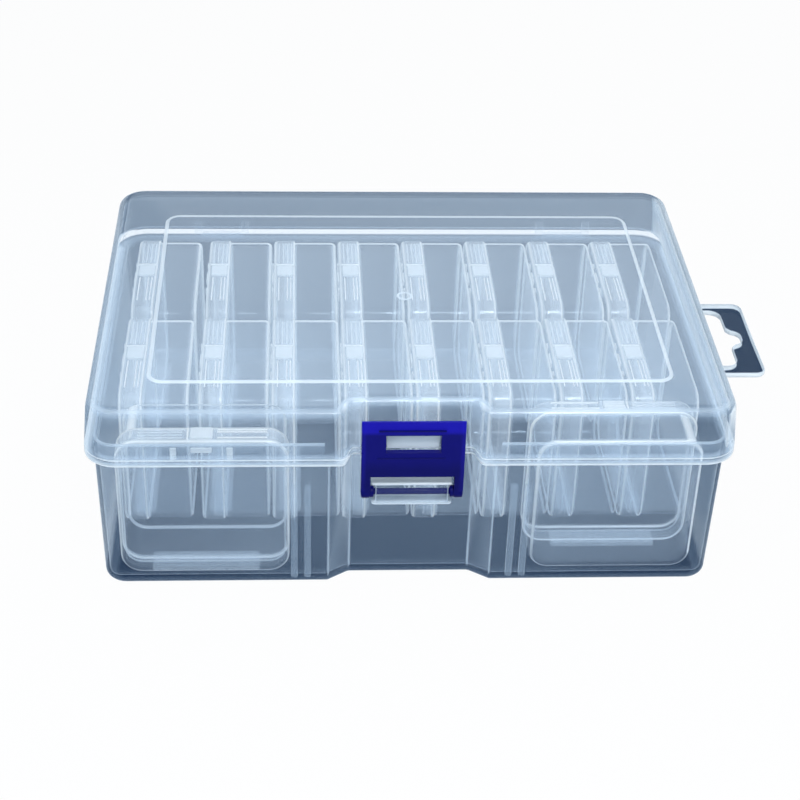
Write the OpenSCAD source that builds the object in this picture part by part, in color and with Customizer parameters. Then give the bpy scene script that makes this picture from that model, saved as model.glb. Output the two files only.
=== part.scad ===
// Bead organizer: a clear hinged case with a latch and a hang tab. It holds eighteen small
// lidded boxes: sixteen stand on edge in two rows, and two stand upright along the front.
// Origin: centre of the case's underside. X runs along the front, Y to the back, Z up.

/* [Bead boxes] */
// Width of a small box, along its hinge
box_w = 46.6; // [42:0.1:56]
// Height of a small box over its lid
box_h = 44.5; // [40:0.1:54]
// Thickness of a small box when it is shut
box_t = 19.7; // [16:0.1:26]
// Corner radius of a small lid
box_r = 6; // [4:0.1:9]
// Wall and floor of a small cup
cup_wall = 1; // [0.8:0.05:1.3]
// Step from a small lid's outline in to its cup's outline
cup_step = 0.6; // [0.3:0.05:0.8]
// Depth of a small lid's skirt
skirt_d = 6.7; // [5:0.1:9]
// Wall of a small lid's skirt
skirt_wall = 0.8; // [0.6:0.05:1]
// Plate thickness of a small lid
lid_plate = 1.2; // [0.8:0.1:1.6]
// Depth of the cup's neck inside the lid's skirt
neck_d = 3.2; // [2:0.1:3.6]
// Gap between the neck and the skirt
neck_gap = 0.1; // [0.05:0.01:0.2]
// Width of the hinge pad under a small box
pad_w = 29.6; // [20:0.1:34]
// How far the hinge pad stands out
pad_h = 0.8; // [0.5:0.1:1.2]
// Start of the hinge pad behind the lid's face
pad_start = 1.8; // [1:0.1:3]
// Reach of the hinge pad onto the cup
pad_on_cup = 1.6; // [1:0.1:3]
// Width of the snap tab on top of a small box
tab_w = 6; // [4:0.1:9]
// How far the snap tab stands out
tab_h = 0.5; // [0.3:0.05:0.8]
// Start of the snap tab behind the lid's face
tab_start = 1.3; // [0.8:0.1:2]
// Length of the snap tab along the skirt
tab_l = 4.8; // [3:0.1:5]

/* [Layout] */
// Gap between neighbours in a row
box_gap = 0.35; // [0.3:0.05:0.8]
// Gap after the first box of each row
first_gap = 2.3; // [0.5:0.1:4]
// Play between the left wall and the rows
left_play = 2.6; // [1:0.1:5]
// Play between the rows and the right wall
right_play = 1.2; // [1:0.1:4]
// Gap between the two rows
row_gap = 0.4; // [0.3:0.05:1]
// Gap between the front row and the two front boxes
bay_gap = 0.8; // [0.4:0.1:3]
// Play between the front wall and the front boxes
front_play = 0.6; // [0.4:0.1:2]
// Play between the back row and the rear wall
rear_play = 0.5; // [0.4:0.1:2]
// Gap under a small box
seat_gap = 0.3; // [0.2:0.05:0.4]
// Play between a side wall and a front box
side_play = 3.3; // [1.5:0.1:6]
// Gap between a front box and its divider rib
rib_gap = 0.35; // [0.3:0.05:1]

/* [Case base] */
// Wall of the case base
wall = 1.3; // [1:0.1:2]
// Floor of the case base
floor_t = 1.5; // [1:0.1:2.5]
// Height of the lid's edge above the ground
base_h = 44.2; // [38:0.1:60]
// Gap under the lid's edge
lid_gap = 0.3; // [0.25:0.05:0.4]
// Draft of the base's walls in degrees
base_draft = 1; // [0.2:0.1:1.5]
// Corner radius of the base
base_r = 5.3; // [4:0.1:6]
// Radius of the base's inner corners
base_in_r = 3; // [2:0.1:3.2]
// Thickness of the rim band
band_t = 1.5; // [1.2:0.1:2.5]
// Overhang of the rim band at the sides and the front
rim_over = 2.5; // [2.3:0.1:4]
// Overhang of the lid at the back, over the hinge
rear_over = 7.3; // [7:0.1:10]
// Height of the locating lip above the lid's edge
lip_h = 3.6; // [2:0.1:4.5]
// Distance from the recess's mouth to the ends of the lip
lip_stop = 1; // [0.5:0.1:3]
// Depth of the latch recess in the base
recess_d = 3.9; // [3:0.1:5]
// Half width of the base's recess at its mouth
recess_mouth = 22.4; // [21.5:0.1:23.5]
// Half width of the base's recess at its floor
recess_floor = 16.6; // [15:0.1:18]
// Overhang of the rim band in the recess
recess_over = 0.8; // [0.5:0.1:1]
// Clear width of a divider slot
rib_slot = 1.95; // [1.5:0.05:2.5]
// Thickness of a divider rib
rib_t = 1.75; // [1:0.05:2.5]
// How far a divider rib stands in from the wall
rib_d = 1.5; // [1:0.1:2.5]
// Height of the divider ribs
rib_h = 31; // [20:0.5:40]

/* [Case lid] */
// Height of the lid from its edge to its flat top
lid_h = 14.8; // [13:0.1:20]
// Draft of the lid's walls in degrees
lid_draft = 5; // [2:0.1:6]
// Corner radius of the lid and the rim band
lid_r = 9; // [8:0.1:10]
// Radius where the lid's walls turn into its top
lid_edge = 2.8; // [2:0.1:3.5]
// Radius of the lid's inner corners
lid_in_r = 6.5; // [5.5:0.1:7]
// Wall of the lid
lid_wall = 1.5; // [1.2:0.05:1.6]
// Thickness of the lid's top
lid_top = 1.5; // [1:0.1:2]
// Half width of the lid's recess at its mouth
lid_mouth = 18.3; // [17:0.1:19]
// Half width of the lid's recess at its floor
lid_floor = 16.3; // [15:0.1:17]
// Width of the raised panel on the lid
panel_w = 141.2; // [100:0.1:150]
// Depth of the raised panel on the lid
panel_d = 93.4; // [60:0.1:100]
// Corner radius of the raised panel
panel_r = 7; // [3:0.1:12]
// Height of the raised panel
panel_h = 0.5; // [0.3:0.1:1]
// Radius of the moulding mark on the panel
gate_r = 2.3; // [1:0.1:4]
// Depth of the moulding mark
gate_d = 0.3; // [0.1:0.05:0.4]
// Distance of the moulding mark in front of the centre
gate_y = 2.2; // [0:0.1:6]

/* [Hang tab] */
// Reach of the hang tab past the rim band
hang_reach = 16.6; // [14:0.1:25]
// Length of the hang tab
hang_l = 39; // [36:0.1:50]
// Corner radius of the hang tab
hang_r = 3; // [1:0.1:5]
// Strip between the rim band and the slot
slot_edge = 1.6; // [1:0.1:2.5]
// Width of the slot's straight part
slot_w = 7.7; // [6:0.1:9]
// Length of the slot
slot_l = 30.4; // [28:0.1:33]
// Radius of the slot's corners
slot_r = 3.2; // [1:0.1:3.4]
// Radius of the slot's middle bulge
slot_bulge = 4.1; // [3:0.1:4.6]
// Distance from the bulge's centre back from the slot's edge
bulge_in = 0.5; // [0:0.1:1.5]

/* [Case hinge] */
// Distance of a hinge from the middle
hinge_x = 55; // [20:0.5:65]
// Length of a hinge knuckle
knuckle_l = 12; // [8:0.5:16]
// Outer radius of a hinge knuckle
knuckle_r = 1.6; // [1.5:0.05:1.7]
// Radius of the lid's hinge pin
hinge_pin_r = 0.8; // [0.7:0.05:0.9]
// Radial clearance of the hinge pin
hinge_fit = 0.05; // [0.03:0.01:0.1]
// Length of a hinge pin inside its knuckle
hinge_pin_l = 3.6; // [2:0.1:5]
// Width of a lid arm
arm_w = 2.2; // [1.5:0.1:3]
// Radius of a lid arm's end
arm_r = 1.5; // [1.3:0.05:1.6]
// Height of a lid arm above the hinge axis
arm_h = 4; // [3:0.1:5]
// Drop of the hinge axis below the lid's edge
hinge_drop = 1.2; // [1.1:0.05:1.4]
// Distance of the rim band's rear edge in front of the hinge axis
band_set = 0.2; // [0.2:0.05:0.5]
// Gap beside and behind the hinge parts
hinge_gap = 0.35; // [0.3:0.05:0.6]

/* [Latch] */
// Width of the latch
latch_w = 27.5; // [25:0.1:29]
// Height of the latch's pivot
latch_z = 31; // [26:0.1:34]
// Top of the latch above its pivot
latch_h = 23; // [21:0.1:24]
// Thickness of the latch plate
latch_t = 1.5; // [1.2:0.05:1.7]
// Distance of the plate's back in front of the pivot
latch_set = 0.2; // [0.1:0.05:0.3]
// Radius of a latch leg's end
leg_r = 1.8; // [1.6:0.05:1.9]
// Width of a latch leg
leg_w = 2.4; // [1.8:0.1:3]
// Gap between a leg's end and the base's wall
leg_gap = 0.4; // [0.3:0.05:0.8]
// Top of the cut-out between the legs, above the pivot
latch_cut = 6; // [5:0.1:8]
// Corner radius of the latch
latch_r = 1.2; // [0.5:0.1:2]
// Width of the latch's window
window_w = 14.7; // [10:0.1:18]
// Height of the latch's window
window_h = 5.5; // [4:0.1:7]
// Sill of the window above the pivot
window_z = 13.8; // [13.4:0.1:15]
// Gap round the lug, and between the lug and the latch
lug_gap = 0.3; // [0.25:0.05:0.5]
// Radius of the latch's axle
pivot_r = 0.9; // [0.7:0.05:1]
// Radial clearance of the latch's axle
pivot_fit = 0.06; // [0.03:0.01:0.1]
// Length of the boss on the inside of a leg
boss_l = 1.05; // [0.5:0.05:1.5]
// Radius of that boss
boss_r = 1.6; // [1.4:0.05:1.75]
// Mouth of the slot through which the axle snaps in
clip_mouth = 1.5; // [1:0.05:1.6]
// Gap between the pivot block and the latch
block_gap = 0.4; // [0.3:0.05:0.8]
// Thickness of the ledge on top of the pivot block
ledge_t = 0.9; // [0.6:0.05:1.2]
// Rise of the pivot block above the pivot
block_up = 3; // [2.4:0.1:3.4]
// Drop of the pivot block below the pivot
block_down = 3.7; // [2.4:0.1:4]
// Reach of the pivot block in front of the pivot
block_out = 1.5; // [1.4:0.1:1.8]
// Corner radius of the pivot block
block_r = 1.2; // [0.5:0.1:1.2]

/* [Hidden] */
$fn = 48;
cols = 8;
count = 2 * cols + 2;
cup_names = [for (i = [1:count]) str("bead_cup_", i < 10 ? "0" : "", i)];
lid_names = [for (i = [1:count]) str("bead_lid_", i < 10 ? "0" : "", i)];
eps = 0.01;
// How far a cutter reaches past what it cuts
over = 1;

// Case sizes that follow from the boxes
in_w = left_play + cols * box_t + first_gap + (cols - 2) * box_gap + right_play;
in_d = front_play + box_t + bay_gap + 2 * box_w + row_gap + rear_play;
half_w = in_w / 2 + wall;
half_d = in_d / 2 + wall;
base_slope = tan(base_draft);
rim_z = base_h - lid_gap;
rim_w = half_w + rim_z * base_slope + rim_over;
rim_front = half_d + rim_z * base_slope + rim_over;
lid_rear = half_d + rim_z * base_slope + rear_over;
lid_y = (lid_rear - rim_front) / 2;
lid_half_d = (lid_rear + rim_front) / 2;
hinge_y = lid_rear - lid_wall - hinge_gap - knuckle_r;
hinge_z = base_h - hinge_drop;
band_rear = hinge_y - band_set;
arm_x = knuckle_l / 2 + hinge_gap + arm_w / 2;
// Front face of the base's wall in the latch recess, at the pivot's height
recess_y = -(half_d - recess_d) * (1 + latch_z * base_slope / half_d);
pivot_y = recess_y - leg_gap - leg_r;
latch_back = pivot_y - latch_set;
cut_half = latch_w / 2 - leg_w;
block_half = cut_half - boss_l - block_gap;
lid_recess_y = (half_d - recess_d) * (1 + rim_z * base_slope / half_d) + recess_over;
lid_recess_d = rim_front - lid_recess_y;
// Small box sizes
seat_z = floor_t + seat_gap;
box_top = pad_h + box_h;
cup_w = box_w - 2 * cup_step;
cup_top = box_top - cup_step;
cup_r = box_r - cup_step;
neck_in = skirt_wall + neck_gap;
front_x = in_w / 2 - side_play - box_w / 2;
rib_x = front_x - box_w / 2 - rib_gap - rib_t - rib_slot / 2;
row_y = -in_d / 2 + front_play + box_t + bay_gap + box_w / 2;
rear_y = row_y + box_w + row_gap;
front_y = -in_d / 2 + front_play;

// X of a box's lid face in its row, for column c
function col_x(c) = -in_w / 2 + left_play + c * (box_t + box_gap) + (c > 0 ? first_gap - box_gap : 0);

// Place of box i: x, y and turn about Z. The last two stand along the front.
function spot(i) =
  i < cols ? [col_x(i), row_y, 0] :
  i < 2 * cols ? [col_x(i - cols), rear_y, 0] :
  i == 2 * cols ? [-front_x, front_y, 90] :
  [front_x, front_y + box_t, -90];

// How much wider a sloping recess is on the wall's other face, for a wall t
function side_shift(mouth, root, depth, t) =
  t * (sqrt(1 + pow((mouth - root) / depth, 2)) - (mouth - root) / depth);

// Rounded rectangle about the origin
module rounded(w, d, r) {
  square([w - 2 * r, d], center = true);
  square([w, d - 2 * r], center = true);
  for (x = [-1, 1], y = [-1, 1])
    translate([x * (w / 2 - r), y * (d / 2 - r)])
      circle(r = r);
}

// Outline of a latch recess: mouth at y1 and root at y2, as half widths
module recess_2d(mouth, root, y1, y2) {
  polygon([[-mouth, y1], [-root, y2], [root, y2], [mouth, y1], [mouth, y1 - over], [-mouth, y1 - over]]);
}

// Rounded plate that stands across X, from x1 to x2 and from z1 to z2
module standing(x1, x2, w, z1, z2, r) {
  translate([x1, 0, (z1 + z2) / 2])
    rotate([90, 0, 90])
      linear_extrude(height = x2 - x1)
        rounded(w, z2 - z1, r);
}

// Flat shape in Y and Z, drawn out along X about x
module across(x, length) {
  translate([x - length / 2, 0, 0])
    rotate([90, 0, 90])
      linear_extrude(height = length)
        children();
}

// Drafted solid of the base: half sizes a and b and recess at z1, up to z2
module base_form(a, b, r, mouth, root, z1, z2) {
  rise = (z2 - z1) * base_slope;
  translate([0, 0, z1])
    linear_extrude(height = z2 - z1, scale = [(a + rise) / a, (b + rise) / b], slices = 1, $fn = 32)
      difference() {
        rounded(2 * a, 2 * b, r);
        recess_2d(mouth, root, -b, -b + recess_d);
      }
}

// Rim band with the hang tab, before the inside is cut out
module rim_2d() {
  mid = (band_rear - rim_front) / 2;
  difference() {
    union() {
      translate([0, mid])
        rounded(2 * rim_w, band_rear + rim_front, lid_r);
      translate([rim_w + (hang_reach - lid_r) / 2, 0])
        rounded(hang_reach + lid_r, hang_l, hang_r);
    }
    recess_2d(lid_mouth, lid_floor, -rim_front, -lid_recess_y);
    hang_slot_2d();
    for (s = [-1, 1], a = [-1, 1])
      translate([s * hinge_x + a * arm_x, band_rear])
        square([arm_w + 2 * hinge_gap, 2 * (arm_r + hinge_gap - band_set)], center = true);
  }
}

// Hang slot: a long slot with a bulge on its outer side
module hang_slot_2d() {
  x1 = rim_w + slot_edge;
  translate([x1 + slot_w / 2, 0])
    rounded(slot_w, slot_l, slot_r);
  translate([x1 + slot_w - bulge_in, 0])
    circle(r = slot_bulge);
}

// Knuckles that carry the lid's pins, about the hinge axis
module knuckles() {
  for (s = [-1, 1])
    across(s * hinge_x, knuckle_l)
      translate([hinge_y, hinge_z])
        circle(r = knuckle_r);
}

// Block on the recess wall that carries the latch's axle, with a wider ledge on top
module pivot_block() {
  y1 = pivot_y - block_out;
  y2 = recess_y + wall / 2;
  top = latch_z + block_up;
  across(0, 2 * block_half)
    block_2d(y1, y2, latch_z - block_down, top);
  translate([block_gap - cut_half, y1 + block_r, top - ledge_t])
    cube([2 * (cut_half - block_gap), y2 - y1 - block_r, ledge_t]);
}

// Bore for the latch's axle and the slot below it, through which the axle snaps in
module axle_seat() {
  across(0, 2 * (block_half + over))
    translate([pivot_y, latch_z])
      circle(r = pivot_r + pivot_fit);
  translate([-block_half - over, pivot_y - clip_mouth / 2, latch_z - block_down - over])
    cube([2 * (block_half + over), clip_mouth, block_down + over]);
}

// Rectangle from y1 to y2 with rounded corners at y1
module block_2d(y1, y2, z1, z2) {
  translate([y1 + block_r, z1])
    square([y2 - y1 - block_r, z2 - z1]);
  translate([y1, z1 + block_r])
    square([block_r + eps, z2 - z1 - 2 * block_r]);
  for (z = [z1 + block_r, z2 - block_r])
    translate([y1 + block_r, z])
      circle(r = block_r);
}

// Ribs on the front wall that make two divider slots
module ribs() {
  y1 = -in_d / 2 - rib_h * base_slope - wall / 2;
  y2 = -in_d / 2 + rib_d;
  for (s = [-1, 1], a = [-1, 1])
    translate([s * rib_x + a * (rib_slot + rib_t) / 2 - rib_t / 2, y1, floor_t - eps])
      cube([rib_t, y2 - y1, rib_h]);
}

module case_base() {
  shift = side_shift(recess_mouth, recess_floor, recess_d, wall);
  lip_z = base_h + lip_h;
  color([0.8, 0.87, 0.95, 0.4])
  difference() {
    union() {
      difference() {
        union() {
          base_form(half_w, half_d, base_r, recess_mouth, recess_floor, 0, lip_z);
          translate([0, 0, rim_z - band_t])
            linear_extrude(height = band_t)
              rim_2d();
          pivot_block();
        }
        base_form(in_w / 2, in_d / 2, base_in_r, recess_mouth + shift, recess_floor + shift,
          floor_t, lip_z + over);
        translate([-recess_mouth - lip_stop, -rim_front, rim_z])
          cube([2 * (recess_mouth + lip_stop), rim_front / 2, lip_h + over]);
      }
      ribs();
      knuckles();
    }
    axle_seat();
    for (s = [-1, 1])
      across(s * hinge_x, knuckle_l + over)
        translate([hinge_y, hinge_z])
          circle(r = hinge_pin_r + hinge_fit);
  }
}

// One level of the lid's form: a thin plate that is inset from the rim's outline
module lid_level(inset, r, z) {
  translate([0, lid_y, z])
    linear_extrude(height = eps)
      rounded(2 * (rim_w - inset), 2 * (lid_half_d - inset), r);
}

// Drafted form of the lid with a rounded top edge, from z1 up to z2
module lid_form(inset, r, edge, z1, z2) {
  slope = tan(lid_draft);
  turn = inset + (z2 - edge - z1) * slope;
  hull() {
    lid_level(inset, r, z1);
    lid_level(turn, r, z2 - edge);
    for (a = [30, 60, 90]) {
      in = edge * (1 - cos(a));
      lid_level(turn + in, max(r - in, 1), z2 - edge + edge * sin(a) - eps);
    }
  }
}

// Recess through the lid's front, drafted like its walls
module lid_recess(grow, z1, z2) {
  shift = grow > 0 ? side_shift(lid_mouth, lid_floor, lid_recess_d, grow) : 0;
  drop = (z2 - z1) * tan(lid_draft);
  y1 = -rim_front + grow;
  y2 = -lid_recess_y + grow;
  hull() {
    translate([0, 0, z1])
      linear_extrude(height = eps)
        recess_2d(lid_mouth + shift, lid_floor + shift, y1, y2);
    translate([0, 0, z2])
      linear_extrude(height = eps)
        recess_2d(lid_mouth + shift, lid_floor + shift, y1, y2 + drop);
  }
}

// Arm of the lid at its hinge, about x
module lid_arm(x) {
  across(x, arm_w)
    translate([hinge_y, hinge_z]) {
      circle(r = arm_r);
      square([knuckle_r + hinge_gap + lid_wall / 2, arm_h]);
    }
}

module case_lid() {
  z2 = base_h + lid_h;
  color([0.8, 0.87, 0.95, 0.4]) {
    difference() {
      union() {
        lid_form(0, lid_r, lid_edge, base_h, z2);
        translate([0, 0, z2 - eps])
          linear_extrude(height = panel_h + eps)
            rounded(panel_w, panel_d, panel_r);
      }
      difference() {
        lid_form(lid_wall, lid_in_r, lid_edge - lid_wall, base_h - eps, z2 - lid_top);
        lid_recess(lid_wall, base_h - over, z2);
      }
      lid_recess(0, base_h - over, z2 + over);
      translate([0, -gate_y, z2 + panel_h - gate_d])
        cylinder(r = gate_r, h = gate_d + over);
    }
    translate([-window_w / 2 + lug_gap, latch_back + lug_gap, latch_z + window_z + lug_gap])
      cube([window_w - 2 * lug_gap, -lid_recess_y - latch_back + lid_wall / 2, window_h - 2 * lug_gap]);
    for (s = [-1, 1], a = [-1, 1]) {
      lid_arm(s * hinge_x + a * arm_x);
      across(s * hinge_x + a * (knuckle_l / 2 - hinge_pin_l / 2 + hinge_gap), hinge_pin_l + eps)
        translate([hinge_y, hinge_z])
          circle(r = hinge_pin_r);
    }
  }
}

module latch() {
  color([0.06, 0.06, 0.5]) {
    translate([0, latch_back, latch_z + latch_h / 2])
      rotate([90, 0, 0])
        linear_extrude(height = latch_t)
          difference() {
            rounded(latch_w, latch_h, latch_r);
            translate([-cut_half, -latch_h / 2 - over])
              square([2 * cut_half, latch_cut + over]);
            translate([-window_w / 2, window_z - latch_h / 2])
              square([window_w, window_h]);
          }
    for (s = [-1, 1]) {
      across(s * (cut_half + leg_w / 2), leg_w)
        translate([pivot_y, latch_z])
          circle(r = leg_r);
      across(s * (cut_half - boss_l / 2), boss_l + eps)
        translate([pivot_y, latch_z])
          circle(r = boss_r);
    }
    across(0, 2 * cut_half)
      translate([pivot_y, latch_z])
        circle(r = pivot_r);
  }
}

module bead_cup(i) {
  p = spot(i);
  color([0.85, 0.9, 0.96, 0.4])
  translate([p[0], p[1], seat_z])
    rotate([0, 0, p[2]])
      difference() {
        union() {
          standing(skirt_d, box_t, cup_w, pad_h + cup_step, cup_top, cup_r);
          standing(skirt_d - neck_d, skirt_d + cup_wall, box_w - 2 * neck_in,
            pad_h + neck_in, box_top - neck_in, box_r - neck_in);
          translate([skirt_d, -pad_w / 2, 0])
            cube([pad_on_cup, pad_w, pad_h + cup_step + cup_wall / 2]);
        }
        standing(skirt_d - neck_d - over, box_t - cup_wall, cup_w - 2 * cup_wall,
          pad_h + cup_step + cup_wall, cup_top - cup_wall, cup_r - cup_wall);
      }
}

module bead_lid(i) {
  p = spot(i);
  color([0.88, 0.92, 0.97, 0.4])
  translate([p[0], p[1], seat_z])
    rotate([0, 0, p[2]]) {
      difference() {
        union() {
          standing(0, skirt_d, box_w, pad_h, box_top, box_r);
          translate([pad_start, -pad_w / 2, 0])
            cube([skirt_d - pad_start, pad_w, pad_h + skirt_wall / 2]);
        }
        standing(lid_plate, skirt_d + over, box_w - 2 * skirt_wall,
          pad_h + skirt_wall, box_top - skirt_wall, box_r - skirt_wall);
      }
      translate([tab_start, -tab_w / 2, box_top - skirt_wall / 2])
        cube([tab_l, tab_w, tab_h + skirt_wall / 2]);
    }
}

case_base();
case_lid();
latch();
for (i = [0:count - 1]) {
  bead_cup(i);
  bead_lid(i);
}
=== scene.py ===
"""Bead organizer in clear plastic: a hinged case with a dark blue latch, a hang tab and
eighteen small lidded boxes. Lengths are written in millimetres and become metres when a
mesh is made. X runs along the front, Y to the back and Z up, as in the CAD frame."""

import bpy
import numpy as np
from mathutils import Matrix


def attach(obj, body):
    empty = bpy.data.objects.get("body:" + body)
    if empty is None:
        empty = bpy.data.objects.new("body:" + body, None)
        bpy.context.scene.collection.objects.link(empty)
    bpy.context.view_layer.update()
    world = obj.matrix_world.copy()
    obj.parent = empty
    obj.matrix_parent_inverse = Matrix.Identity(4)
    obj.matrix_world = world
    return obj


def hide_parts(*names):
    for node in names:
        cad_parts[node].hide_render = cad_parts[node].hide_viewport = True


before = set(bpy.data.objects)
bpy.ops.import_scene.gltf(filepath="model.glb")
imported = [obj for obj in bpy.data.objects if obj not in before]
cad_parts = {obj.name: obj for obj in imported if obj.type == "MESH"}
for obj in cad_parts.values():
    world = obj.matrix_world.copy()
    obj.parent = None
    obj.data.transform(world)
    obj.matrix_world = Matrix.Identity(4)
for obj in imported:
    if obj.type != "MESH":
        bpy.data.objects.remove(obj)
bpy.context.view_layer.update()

MM = 0.001
RAD = np.radians

# Small boxes: T is depth from the lid's face, W width along the hinge, H height
BOX_W, BOX_H, BOX_T, BOX_R = 46.6, 44.5, 19.7, 6.0
STEP, CUP_WALL, SKIRT, SKIRT_WALL, PLATE = 0.6, 1.0, 6.7, 0.8, 1.2
NECK, NECK_GAP, PAD_W, PAD_H, PAD_T1, PAD_T2 = 3.2, 0.1, 29.6, 0.8, 1.8, 8.3
SEAT = 1.8
# Places of the boxes in the case
GAP, FIRST_GAP, LEFT, RIGHT = 0.35, 2.3, 2.6, 1.2
ROW_GAP, BAY_GAP, FRONT, REAR = 0.4, 0.8, 0.6, 0.5
COLS = 8
IN_W = LEFT + COLS * BOX_T + FIRST_GAP + (COLS - 2) * GAP + RIGHT
IN_D = FRONT + BOX_T + BAY_GAP + 2 * BOX_W + ROW_GAP + REAR
ROW_Y = -IN_D / 2 + FRONT + BOX_T + BAY_GAP + BOX_W / 2
FRONT_Y = -IN_D / 2 + FRONT
FRONT_X = IN_W / 2 - 3.3 - BOX_W / 2
RIB_T, RIB_SLOT = 1.75, 1.95
RIB_X = FRONT_X - BOX_W / 2 - 0.35 - RIB_T - RIB_SLOT / 2
# Case base. Its latch recess is MOUTH wide to each side in front and ROOT at the back,
# and the rim band's and the lid's is LID_MOUTH and LID_ROOT
WALL, FLOOR, EDGE_Z, LID_GAP, BAND = 1.3, 1.5, 44.2, 0.3, 1.5
RIM_Z = EDGE_Z - LID_GAP
SLOPE = np.tan(RAD(1.0))
HALF_W, HALF_D = IN_W / 2 + WALL, IN_D / 2 + WALL
RIM_W, RIM_F = HALF_W + RIM_Z * SLOPE + 2.5, HALF_D + RIM_Z * SLOPE + 2.5
LID_REAR = HALF_D + RIM_Z * SLOPE + 7.3
LIP_TOP = EDGE_Z + 3.6
MOUTH, ROOT, DEEP = 22.4, 16.6, 3.9
LID_MOUTH, LID_ROOT = 18.3, 16.3
RECESS_Y = (HALF_D - DEEP) * (1 + RIM_Z * SLOPE / HALF_D) + 0.8
# Case lid
LID_TOP, LID_SLOPE, LID_WALL, LID_PLATE = 59.0, np.tan(RAD(5.0)), 1.5, 1.5
PANEL_W, PANEL_D, PANEL_R, PANEL_H = 141.2, 93.4, 4.0, 0.5
# Hinge and latch. The rim band ends at BAND_REAR, under the lid's rear wall
HINGE_Y, HINGE_Z = LID_REAR - 1.5 - 0.35 - 1.6, EDGE_Z - 1.2
BAND_REAR = HINGE_Y + 0.6
KNUCKLE_X, KNUCKLE_HALF, ARM_GAP, ARM_HALF = 55, 6, 0.35, 1.1
PIVOT_Z = 31.0
PIVOT_Y = -(HALF_D - DEEP) * (1 + PIVOT_Z * SLOPE / HALF_D) - 0.4 - 1.8
LATCH_BACK, LATCH_T, LATCH_HALF, LATCH_H = PIVOT_Y - 0.2, 1.5, 13.75, 23.0
LEG_IN, LEG_H, WINDOW_HALF, WINDOW_LOW, WINDOW_TOP = 11.35, 6, 7.35, 13.8, 19.3
# Camera that was fitted to the photo: yaw, pitch and roll in radians, place, focal length
# and picture width in pixels
YAW, PITCH, ROLL = 0.067027, 0.590431, -0.034624
CAMERA_AT = (-30.10, -446.77, 322.01)
FOCAL_PX, PICTURE_PX = 1795.9, 800.0


# ---------------------------------------------------------------- shapes


def outline(corners, radii, inset=0.0, steps=9):
    """Closed outline through rounded corners, anticlockwise. Every side moves in by inset.
    A corner is an arc that touches both its sides: its centre lies one radius from each,
    and its angle runs from the first side's normal to the second's. An outward corner's
    radius shrinks by inset, and an inward corner's grows by it."""
    p = np.asarray(corners, float)
    r = np.asarray(radii, float)
    d1 = p - np.roll(p, 1, 0)
    d1 /= np.linalg.norm(d1, axis=1)[:, None]
    d2 = np.roll(d1, -1, 0)
    n1 = np.stack([-d1[:, 1], d1[:, 0]], 1)
    n2 = np.stack([-d2[:, 1], d2[:, 0]], 1)
    turn = np.arctan2(d1[:, 0] * d2[:, 1] - d1[:, 1] * d2[:, 0], (d1 * d2).sum(1))
    side = np.where(turn >= 0, 1.0, -1.0)
    q = p + inset * (n1 + n2) / (1 + (n1 * n2).sum(1))[:, None]
    r = np.maximum(r - side * inset, 0.04)
    c = q - d1 * (r * np.tan(np.abs(turn) / 2))[:, None] + (side * r)[:, None] * n1
    a = np.arctan2(-side * n1[:, 1], -side * n1[:, 0])[:, None] + turn[:, None] * np.linspace(0, 1, steps)
    arc = np.stack([np.cos(a), np.sin(a)], 2)
    return (c[:, None, :] + r[:, None, None] * arc).reshape(-1, 2)


def box_corners(x1, y1, x2, y2):
    """The four corners of a rectangle, anticlockwise from the lowest."""
    return [(x1, y1), (x2, y1), (x2, y2), (x1, y2)]


def level(ring, z):
    """A flat ring of points at height z."""
    return np.column_stack([ring, np.full(len(ring), z)])


def spread(marks, m, n):
    """Marks of m rings, spread over the n points of each: how milky the plastic is, with
    the painted highlights along edges, and whether the point lies on the case's outer skin,
    where the painted slate shade shows. A ring may have the first one only."""
    rows = np.zeros((m, 2))
    if marks is not None:
        given = np.asarray(marks, float)
        rows[:, : given.ndim] = given.reshape(m, -1)
    return np.repeat(rows, n, axis=0)


def loft(rings, marks=None, caps=(True, True)):
    """Skin through closed rings of equal length. Quad (i, j) joins point j and j + 1 of
    rings i and i + 1. A cap is one face over the first or last ring."""
    rings = np.asarray(rings, float)
    m, n = rings.shape[:2]
    i, j = np.meshgrid(np.arange(m - 1), np.arange(n), indexing="ij")
    k = (j + 1) % n
    quads = np.stack([i * n + j, i * n + k, (i + 1) * n + k, (i + 1) * n + j], -1).reshape(-1, 4)
    faces = [quads]
    if caps[0]:
        faces.append(np.arange(n)[::-1][None, :])
    if caps[1]:
        faces.append(((m - 1) * n + np.arange(n))[None, :])
    return [rings.reshape(-1, 3), faces, spread(marks, m, n)]


def ring_solid(rings, marks=None):
    """Closed tube through closed rings: as a loft, but the last ring joins the first."""
    rings = np.asarray(rings, float)
    m, n = rings.shape[:2]
    i, j = np.meshgrid(np.arange(m), np.arange(n), indexing="ij")
    i2, k = (i + 1) % m, (j + 1) % n
    quads = np.stack([i * n + j, i * n + k, i2 * n + k, i2 * n + j], -1).reshape(-1, 4)
    return [rings.reshape(-1, 3), [quads], spread(marks, m, n)]


def facing_out(shape):
    """Turns all faces of a closed shape so that its signed volume, the sum of each face's
    cone to the origin, is positive."""
    v, faces, marks = shape
    total = 0.0
    for f in faces:
        a = v[f[:, :1]]
        b, c = v[f[:, 1:-1]], v[f[:, 2:]]
        total += (np.cross(b, c) * a).sum()
    if total < 0:
        faces = [f[:, ::-1] for f in faces]
    return [v, faces, marks]


def joined(*shapes):
    """Several closed shapes as one mesh, each with its faces turned outwards."""
    verts, faces, marks, start = [], [], [], 0
    for s in shapes:
        v, f, m = facing_out(s)
        verts.append(v)
        faces += [a + start for a in f]
        marks.append(m)
        start += len(v)
    return [np.concatenate(verts), faces, np.concatenate(marks)]


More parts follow.
